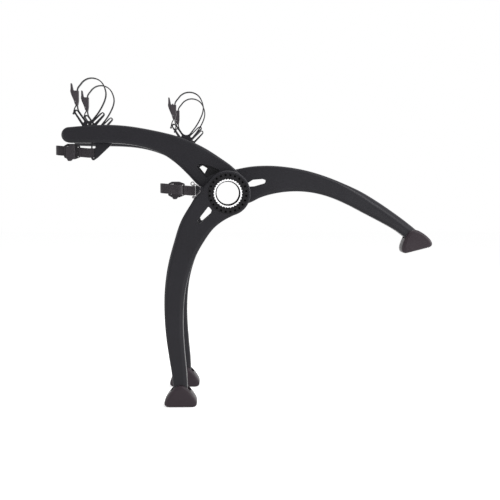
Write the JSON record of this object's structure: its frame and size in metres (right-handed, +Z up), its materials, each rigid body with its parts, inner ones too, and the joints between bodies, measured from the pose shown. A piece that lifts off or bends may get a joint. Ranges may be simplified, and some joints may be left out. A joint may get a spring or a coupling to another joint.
{
  "type": "trunk bike rack",
  "caption": "Trunk bike rack with curved arms and legs that turn on one splined tube, rubber feet, strap cradles and stored webbing.",
  "frame": {"origin": "centre of the splined tube, on its axis and half way along it", "axes": "+X points to the vehicle, +Y lies along the tube across the vehicle, +Z up"},
  "size_m": [1.036, 0.3914, 0.8802],
  "materials": {
    "black_plastic": "satin",
    "foot_rubber": "matte",
    "tube_metal": "anodised",
    "pin_steel": "satin",
    "strap_rubber": "satin",
    "buckle_plastic": "satin",
    "webbing": "woven"
  },
  "bodies": {
    "hub": {"main_tube": "tube_metal", "leg_bush_near": "black_plastic", "leg_bush_far": "black_plastic", "arm_bush_near": "black_plastic", "arm_bush_far": "black_plastic", "upper_bush": "black_plastic", "arm_ring_near": "pin_steel", "arm_ring_far": "pin_steel", "upper_ring_near": "pin_steel", "upper_ring_far": "pin_steel"},
    "lower_leg_near": {"lower_leg_near": "black_plastic", "lower_foot_near_pin": "pin_steel", "ring_plate": "black_plastic"},
    "lower_leg_far": {"lower_leg_far": "black_plastic", "lower_foot_far_pin": "pin_steel"},
    "upper_leg": {"upper_leg": "black_plastic", "upper_foot_pin": "pin_steel"},
    "bike_arm_near": {"bike_arm_near": "black_plastic", "strap_bracket": "black_plastic", "cradle_near_1": "black_plastic", "cradle_near_2": "black_plastic", "ladder_strap_near_1": "strap_rubber", "ladder_strap_near_2": "strap_rubber", "ratchet_frame_near_1": "buckle_plastic", "ratchet_frame_near_2": "buckle_plastic", "ratchet_frame_near_1_pin": "pin_steel", "ratchet_frame_near_2_pin": "pin_steel", "buckle_tab_near_1": "strap_rubber", "buckle_tab_near_2": "strap_rubber"},
    "bike_arm_far": {"bike_arm_far": "black_plastic", "cradle_far_1": "black_plastic", "cradle_far_2": "black_plastic", "ladder_strap_far_1": "strap_rubber", "ladder_strap_far_2": "strap_rubber", "ratchet_frame_far_1": "buckle_plastic", "ratchet_frame_far_2": "buckle_plastic", "ratchet_frame_far_1_pin": "pin_steel", "ratchet_frame_far_2_pin": "pin_steel", "buckle_tab_far_1": "strap_rubber", "buckle_tab_far_2": "strap_rubber"},
    "lower_foot_near": {"lower_foot_near": "foot_rubber"},
    "lower_foot_far": {"lower_foot_far": "foot_rubber"},
    "upper_foot": {"upper_foot": "foot_rubber"},
    "ratchet_lever_near_1": {"ratchet_lever_near_1": "buckle_plastic"},
    "ratchet_lever_near_2": {"ratchet_lever_near_2": "buckle_plastic"},
    "ratchet_lever_far_1": {"ratchet_lever_far_1": "buckle_plastic"},
    "ratchet_lever_far_2": {"ratchet_lever_far_2": "buckle_plastic"},
    "stored_strap_a": {"webbing_loop_a": "webbing", "webbing_roll_a": "webbing", "cam_frame_a": "buckle_plastic", "cam_pin_a": "pin_steel"},
    "cam_lever_a": {"cam_lever_a": "buckle_plastic"},
    "strap_ring": {"strap_ring": "pin_steel"},
    "stored_strap_b": {"webbing_loop_b": "webbing", "webbing_roll_b": "webbing", "cam_frame_b": "buckle_plastic", "cam_pin_b": "pin_steel"},
    "cam_lever_b": {"cam_lever_b": "buckle_plastic"}
  },
  "joints": [
    {"name": "lower_leg_near_turn", "type": "hinge", "parent": "hub", "child": "lower_leg_near", "pos_m": [0, -0.155, 0], "axis": [0, 1, 0], "range_deg": [-60, 45]},
    {"name": "lower_leg_far_turn", "type": "hinge", "parent": "hub", "child": "lower_leg_far", "pos_m": [0, 0.155, 0], "axis": [0, 1, 0], "range_deg": [-60, 45]},
    {"name": "upper_leg_turn", "type": "hinge", "parent": "hub", "child": "upper_leg", "pos_m": [0, 0, 0], "axis": [0, 1, 0], "range_deg": [-35, 90]},
    {"name": "bike_arm_near_turn", "type": "hinge", "parent": "hub", "child": "bike_arm_near", "pos_m": [0, -0.11, 0], "axis": [0, 1, 0], "range_deg": [-97, 40]},
    {"name": "bike_arm_far_turn", "type": "hinge", "parent": "hub", "child": "bike_arm_far", "pos_m": [0, 0.11, 0], "axis": [0, 1, 0], "range_deg": [-97, 40]},
    {"name": "lower_foot_near_tilt", "type": "hinge", "parent": "lower_leg_near", "child": "lower_foot_near", "pos_m": [-0.127, -0.155, -0.53], "axis": [0, 1, 0], "range_deg": [-45, 32]},
    {"name": "lower_foot_far_tilt", "type": "hinge", "parent": "lower_leg_far", "child": "lower_foot_far", "pos_m": [-0.127, 0.155, -0.53], "axis": [0, 1, 0], "range_deg": [-45, 32]},
    {"name": "upper_foot_tilt", "type": "hinge", "parent": "upper_leg", "child": "upper_foot", "pos_m": [0.522, 0, -0.121], "axis": [0, 1, 0], "range_deg": [-75, 0]},
    {"name": "ratchet_lever_near_1_lift", "type": "hinge", "parent": "bike_arm_near", "child": "ratchet_lever_near_1", "pos_m": [-0.4088, -0.11, 0.2462], "axis": [0, 1, 0], "range_deg": [-70, 0], "stiffness_Nm_per_rad": 0.02, "springref_deg": 17.19},
    {"name": "ratchet_lever_near_2_lift", "type": "hinge", "parent": "bike_arm_near", "child": "ratchet_lever_near_2", "pos_m": [-0.1476, -0.11, 0.2088], "axis": [0, 1, 0], "range_deg": [-70, 0], "stiffness_Nm_per_rad": 0.02, "springref_deg": 17.19},
    {"name": "ratchet_lever_far_1_lift", "type": "hinge", "parent": "bike_arm_far", "child": "ratchet_lever_far_1", "pos_m": [-0.4088, 0.11, 0.2462], "axis": [0, 1, 0], "range_deg": [-70, 0], "stiffness_Nm_per_rad": 0.02, "springref_deg": 17.19},
    {"name": "ratchet_lever_far_2_lift", "type": "hinge", "parent": "bike_arm_far", "child": "ratchet_lever_far_2", "pos_m": [-0.1476, 0.11, 0.2088], "axis": [0, 1, 0], "range_deg": [-70, 0], "stiffness_Nm_per_rad": 0.02, "springref_deg": 17.19},
    {"name": "stored_strap_a_swing", "type": "hinge", "parent": "bike_arm_near", "child": "stored_strap_a", "pos_m": [-0.3662, -0.11, 0.108], "axis": [0, 0, 1], "range_deg": [-40, 90]},
    {"name": "cam_lever_a_lift", "type": "hinge", "parent": "stored_strap_a", "child": "cam_lever_a", "pos_m": [-0.41392, -0.1188, 0.112], "axis": [0, 0, 1], "range_deg": [0, 25], "stiffness_Nm_per_rad": 0.02, "springref_deg": -17.19},
    {"name": "strap_ring_swing", "type": "hinge", "parent": "lower_leg_near", "child": "strap_ring", "pos_m": [-0.0735, -0.1815, 0.011], "axis": [0, 0, 1], "range_deg": [0, 90]},
    {"name": "stored_strap_b_swing", "type": "hinge", "parent": "strap_ring", "child": "stored_strap_b", "pos_m": [-0.09, -0.1815, 0.007], "axis": [0, 0, 1], "range_deg": [0, 60]},
    {"name": "cam_lever_b_lift", "type": "hinge", "parent": "stored_strap_b", "child": "cam_lever_b", "pos_m": [-0.13072, -0.1727, 0.0103], "axis": [0, 0, -1], "range_deg": [0, 25], "stiffness_Nm_per_rad": 0.02, "springref_deg": -17.19}
  ]
}
